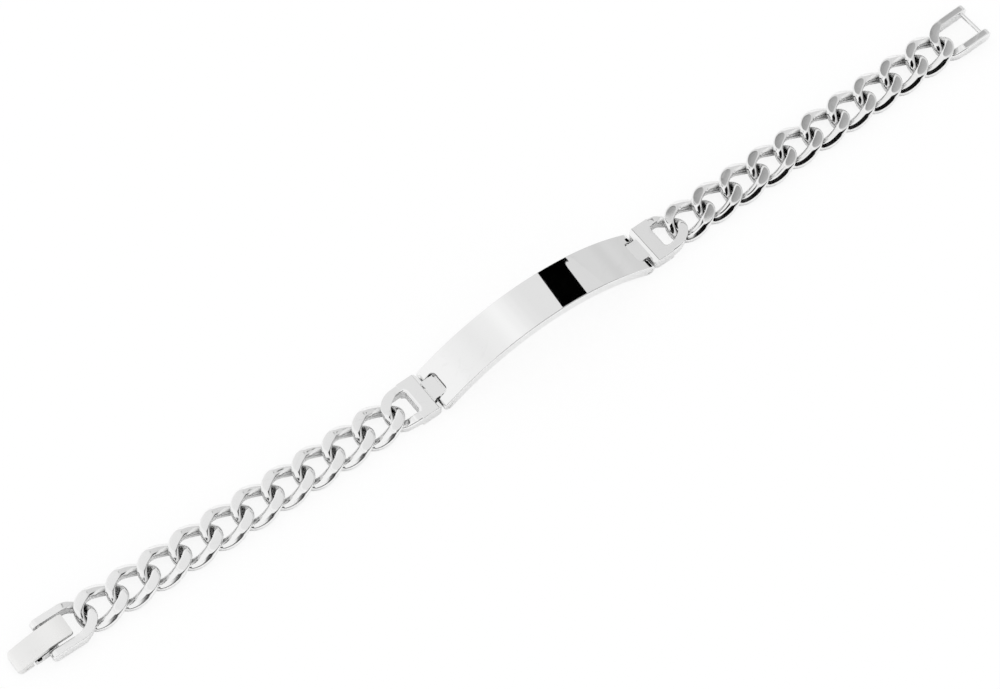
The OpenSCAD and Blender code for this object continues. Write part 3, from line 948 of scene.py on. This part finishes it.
def steel(name, smooth, haze, hairlines, grain=0.0, colour=STEEL, painted_shade=0.0):
    """A finish from its smoothest roughness, the haze above that, and the strength of the rest."""
    material = bpy.data.materials.new(name)
    material.use_nodes = True
    tree = material.node_tree
    shader = tree.nodes["Principled BSDF"]
    shader.inputs["Metallic"].default_value = 1.0
    lines, rim, shut = (add(tree, "ShaderNodeGroup", {"node_tree": group}, Amount=amount).outputs[0]
                        for group, amount in ((HAIRLINES, hairlines), (RUBBED, 1.0),
                                              (PAINTED_SHADE_GROUP, painted_shade)))
    place = add(tree, "ShaderNodeTexCoord").outputs["Object"]
    cloud = add(tree, "ShaderNodeTexNoise", Vector=place, Scale=CLOUD_SCALE, Detail=2.0)
    rough = add(tree, "ShaderNodeMapRange", Value=cloud.outputs["Fac"],
                From_Min=CLOUD_FROM, From_Max=CLOUD_TO, To_Min=smooth, To_Max=smooth + haze)
    scratched = add(tree, "ShaderNodeMath", {"operation": "MULTIPLY_ADD"},
                    i0=lines, i1=LINE_ROUGH, i2=rough.outputs["Result"])
    worn = blend(tree, rim, scratched.outputs[0], smooth)
    tree.links.new(worn, shader.inputs["Roughness"])
    shade = tuple(LINE_SHADE * c for c in colour[:3]) + (1.0,)
    tint = blend_colour(tree, lines, colour, shade)
    # Painted shade: where the occlusion mask is high, the base colour goes to near-black.
    tree.links.new(blend_colour(tree, shut, tint, PAINTED_SHADE_GREY), shader.inputs["Base Color"])
    height = grained(tree, place, lines, grain) if grain else lines
    bump = add(tree, "ShaderNodeBump", Height=height, Strength=BUMP + GRAIN_BUMP * grain,
               Distance=BUMP_DEPTH)
    tree.links.new(bump.outputs["Normal"], shader.inputs["Normal"])
    return material


MIRROR = steel("mirror_polished_steel", 0.03, 0.02, 0.35)
# The chain's steel gets painted shade where little sky is open between the links.
CHAIN_STEEL = steel("tumbled_steel", 0.09, 0.05, 0.5, painted_shade=0.6)
SATIN = steel("satin_lid_steel", 0.26, 0.08, 0.3, grain=0.8, colour=LID_STEEL)
WIRE_STEEL = steel("drawn_wire_steel", 0.14, 0.08, 0.4)
print("finishes:", [m.name for m in (MIRROR, CHAIN_STEEL, SATIN, WIRE_STEEL)])

# %% Give every piece its finish
SLOTS = {row["node"]: row["material_slot"] for row in frame["record"]["subparts"]}
OWN_FINISH = {"satin_steel": SATIN, "pin_steel": WIRE_STEEL}
BRIGHTEST = ("id_plate", "connector", "clasp")
for piece, node in PIECES:
    usual = MIRROR if node.startswith(BRIGHTEST) else CHAIN_STEEL
    piece.data.materials.clear()
    piece.data.materials.append(OWN_FINISH.get(SLOTS[node], usual))
print("slots:", sorted(set(SLOTS.values())))

# %% [markdown]
# ## Table
# The photo's ground is plain white, as over a light box. The table is one large plane in a matt
# white with a slight unevenness. Where it is seen directly it mostly glows, which leaves only a
# faint shadow under the pieces, while the metal still mirrors the shaded table.

# %% Table
TABLE_HALF, TABLE_GLOW = 1.5, 0.86
TABLE_DARK, TABLE_PALE = (0.955, 0.955, 0.955, 1), (0.965, 0.965, 0.965, 1)


def table():
    low, high = -TABLE_HALF, TABLE_HALF
    corners = [(low, low, 0), (high, low, 0), (high, high, 0), (low, high, 0)]
    plane = mesh_object("table", corners, [(0, 1, 2, 3)])
    material = bpy.data.materials.new("matt_white")
    material.use_nodes = True
    tree = material.node_tree
    shader = tree.nodes["Principled BSDF"]
    noise = add(tree, "ShaderNodeTexNoise", Scale=30.0)
    tone = blend_colour(tree, noise.outputs["Fac"], TABLE_DARK, TABLE_PALE)
    tree.links.new(tone, shader.inputs["Base Color"])
    shader.inputs["Roughness"].default_value = 0.9
    shader.inputs["Specular IOR Level"].default_value = 0.1
    path = add(tree, "ShaderNodeLightPath")
    share = times(tree, path.outputs["Is Camera Ray"], TABLE_GLOW)
    glow = add(tree, "ShaderNodeEmission", Color=(1, 1, 1, 1), Strength=1.0)
    seen = add(tree, "ShaderNodeMixShader", i0=share, i1=shader.outputs[0], i2=glow.outputs[0])
    tree.links.new(seen.outputs[0], tree.nodes["Material Output"].inputs["Surface"])
    plane.data.materials.append(material)


table()
print("table: %.0f m square" % (2 * TABLE_HALF))

# %% [markdown]
# ## Light
# A mirror shows the room, so for polished metal the light is drawn as a room: a white tent whose
# brightness changes slowly from left to right. The tent is the world, worked out from the direction
# alone. It has a grey spot with a dark far edge, which the flat tops of the right-hand chain mirror,
# and a dim strip low at the front, where the tent meets the table.

# %% White tent
# The tent's brightness by the direction's x, from the left side to the right.
TENT = [(-1.0, 0.97), (-0.59, 0.965), (-0.46, 0.92), (-0.30, 0.88), (-0.17, 0.91), (-0.02, 0.98),
        (0.05, 0.94), (0.12, 0.885), (0.18, 0.84), (0.28, 0.81), (0.45, 0.80), (0.62, 0.71),
        (0.68, 0.69), (0.75, 0.72), (0.80, 0.72), (0.85, 0.675), (0.885, 0.725), (0.92, 0.69),
        (1.0, 0.78)]
# The grey spot: its direction, and how far from it, in degrees, it is full and ends.
SPOT, SPOT_FULL, SPOT_END = Vector((0.395, 0.372, 0.84)).normalized(), 4, 6.5
# Its greys from near to far, by the direction's y: pale, then deeper, then a dark edge.
PALE, DEEP, EDGE_GREY = 0.48, 0.26, 0.05
PALE_Y, DEEP_Y, EDGE_Y = 0.335, 0.41, 0.435
# The dim strip: where it begins and is full, by the direction's y and z, and its grey.
STRIP_Y, STRIP_Z, STRIP = (-0.2, -0.6), (0.12, 0.04), 0.35
# What matt things get from every side.
FILL = 1.06


def tent_ramp(tree, x):
    """The tent's brightness for a direction's x."""
    across = add(tree, "ShaderNodeMapRange", Value=x, From_Min=-1.0, From_Max=1.0)
    ramp = add(tree, "ShaderNodeValToRGB", Fac=across.outputs["Result"])
    ramp.color_ramp.interpolation = "EASE"
    stops = ramp.color_ramp.elements
    while len(stops) < len(TENT):
        stops.new(0.5)
    for stop, (place, level) in zip(stops, TENT):
        stop.position, stop.color = (place + 1) / 2, (level, level, level, 1)
    return ramp.outputs["Color"]


def tent():
    world = bpy.data.worlds.new("tent")
    bpy.context.scene.world = world
    world.use_nodes = True
    tree = world.node_tree
    coords = add(tree, "ShaderNodeTexCoord")
    way = add(tree, "ShaderNodeSeparateXYZ", Vector=coords.outputs["Generated"])
    y, z = way.outputs["Y"], way.outputs["Z"]
    near = add(tree, "ShaderNodeVectorMath", {"operation": "DOT_PRODUCT"},
               i0=coords.outputs["Generated"], i1=SPOT)
    spot = soft(tree, near.outputs["Value"], cos(radians(SPOT_END)), cos(radians(SPOT_FULL)))
    grey = blend(tree, soft(tree, y, PALE_Y, DEEP_Y), PALE, DEEP)
    grey = blend(tree, soft(tree, y, DEEP_Y, EDGE_Y), grey, EDGE_GREY)
    level = blend(tree, spot, tent_ramp(tree, way.outputs["X"]), grey)
    strip = times(tree, soft(tree, y, *STRIP_Y), soft(tree, z, *STRIP_Z))
    level = blend(tree, strip, level, STRIP)
    path = add(tree, "ShaderNodeLightPath")
    level = blend(tree, path.outputs["Is Diffuse Ray"], level, FILL)
    background = tree.nodes["Background"]
    tree.links.new(level, background.inputs["Color"])
    background.inputs["Strength"].default_value = 1.0


tent()
print("tent: %d steps of brightness" % len(TENT))

# %% [markdown]
# Small cards stand nearer, and only mirrors see them. One overhead makes the sharp black band on
# the plate, and its neighbours set the greys on both sides. Two dark ones in front give the dark
# lines along the near flanks of the links: a black one for the right-hand chain and a lower one,
# mirrored only by part of each flat, for the left-hand chain.


# %% Cards
def card(name, corners, level):
    """A small card that only mirrors see, as a studio card out of the picture."""
    piece = mesh_object(name, corners, [range(len(corners))])
    piece.data.transform(Matrix.Scale(MM, 4))
    material = bpy.data.materials.new(name)
    material.use_nodes = True
    tree = material.node_tree
    tree.nodes.remove(tree.nodes["Principled BSDF"])
    glow = add(tree, "ShaderNodeEmission", Color=(level, level, level, 1), Strength=1.0)
    tree.links.new(glow.outputs[0], tree.nodes["Material Output"].inputs["Surface"])
    piece.data.materials.append(material)
    piece.visible_camera = piece.visible_diffuse = piece.visible_shadow = False
    piece.visible_transmission = piece.visible_volume_scatter = False


# %% Cards overhead
# The three lie side by side, a hair apart. The black one has slanting sides, and its right side
# ends in a hook, as the band on the real plate does.
CARD_Z, NEAR_Y, FAR_Y, HAIR = 30, 4.6, 22, 0.01
BAND_LEFT, BAND_RIGHT, SLANT = 15.97, 30.16, 19.8
HOOK = [(32.7, 14.6), (33.2, 15.6), (34.4, 16.2), (36.5, 16.6)]
LEFT_END, RIGHT_END, RIGHT_CORNER = 7.3, 54.2, (40, 18)


def overhead(*points):
    """The corners of a card that lies level over the bracelet."""
    return [(x, y, CARD_Z) for x, y in points]


card("card_black", overhead((BAND_LEFT, NEAR_Y), (BAND_RIGHT, NEAR_Y), *HOOK,
                            (HOOK[-1][0], FAR_Y), (SLANT, FAR_Y)), 0.0)
card("card_left", overhead((LEFT_END, NEAR_Y), (BAND_LEFT - HAIR, NEAR_Y), (SLANT - HAIR, FAR_Y),
                           (LEFT_END, FAR_Y)), 0.815)
beside = [(x + HAIR, y) for x, y in reversed(HOOK)]
card("card_right", overhead((BAND_RIGHT + HAIR, NEAR_Y), (RIGHT_END, NEAR_Y), RIGHT_CORNER,
                            (beside[0][0], RIGHT_CORNER[1]), *beside), 0.745)
print("black card: %.1f mm wide" % (BAND_RIGHT - BAND_LEFT))

# %% Cards in front
FRONT_Y = -60


def in_front(left, right, low, high):
    """The corners of a card that stands before the bracelet."""
    return [(left, FRONT_Y, low), (right, FRONT_Y, low), (right, FRONT_Y, high),
            (left, FRONT_Y, high)]


card("card_front", in_front(-24, 125, 24, 90), 0.0)
card("card_strip", in_front(-165, -24.1, 15, 43), 0.05)
print("front cards: %d mm before the middle" % -FRONT_Y)

# %% Picture settings
bpy.context.scene.view_settings.view_transform = "Standard"

# %% [markdown]
# ## Triangles
# The dressed model's triangles are counted and printed.

# %% Triangles
print("triangles:", sum(len(p.vertices) - 2 for o, _ in PIECES for p in o.data.polygons))
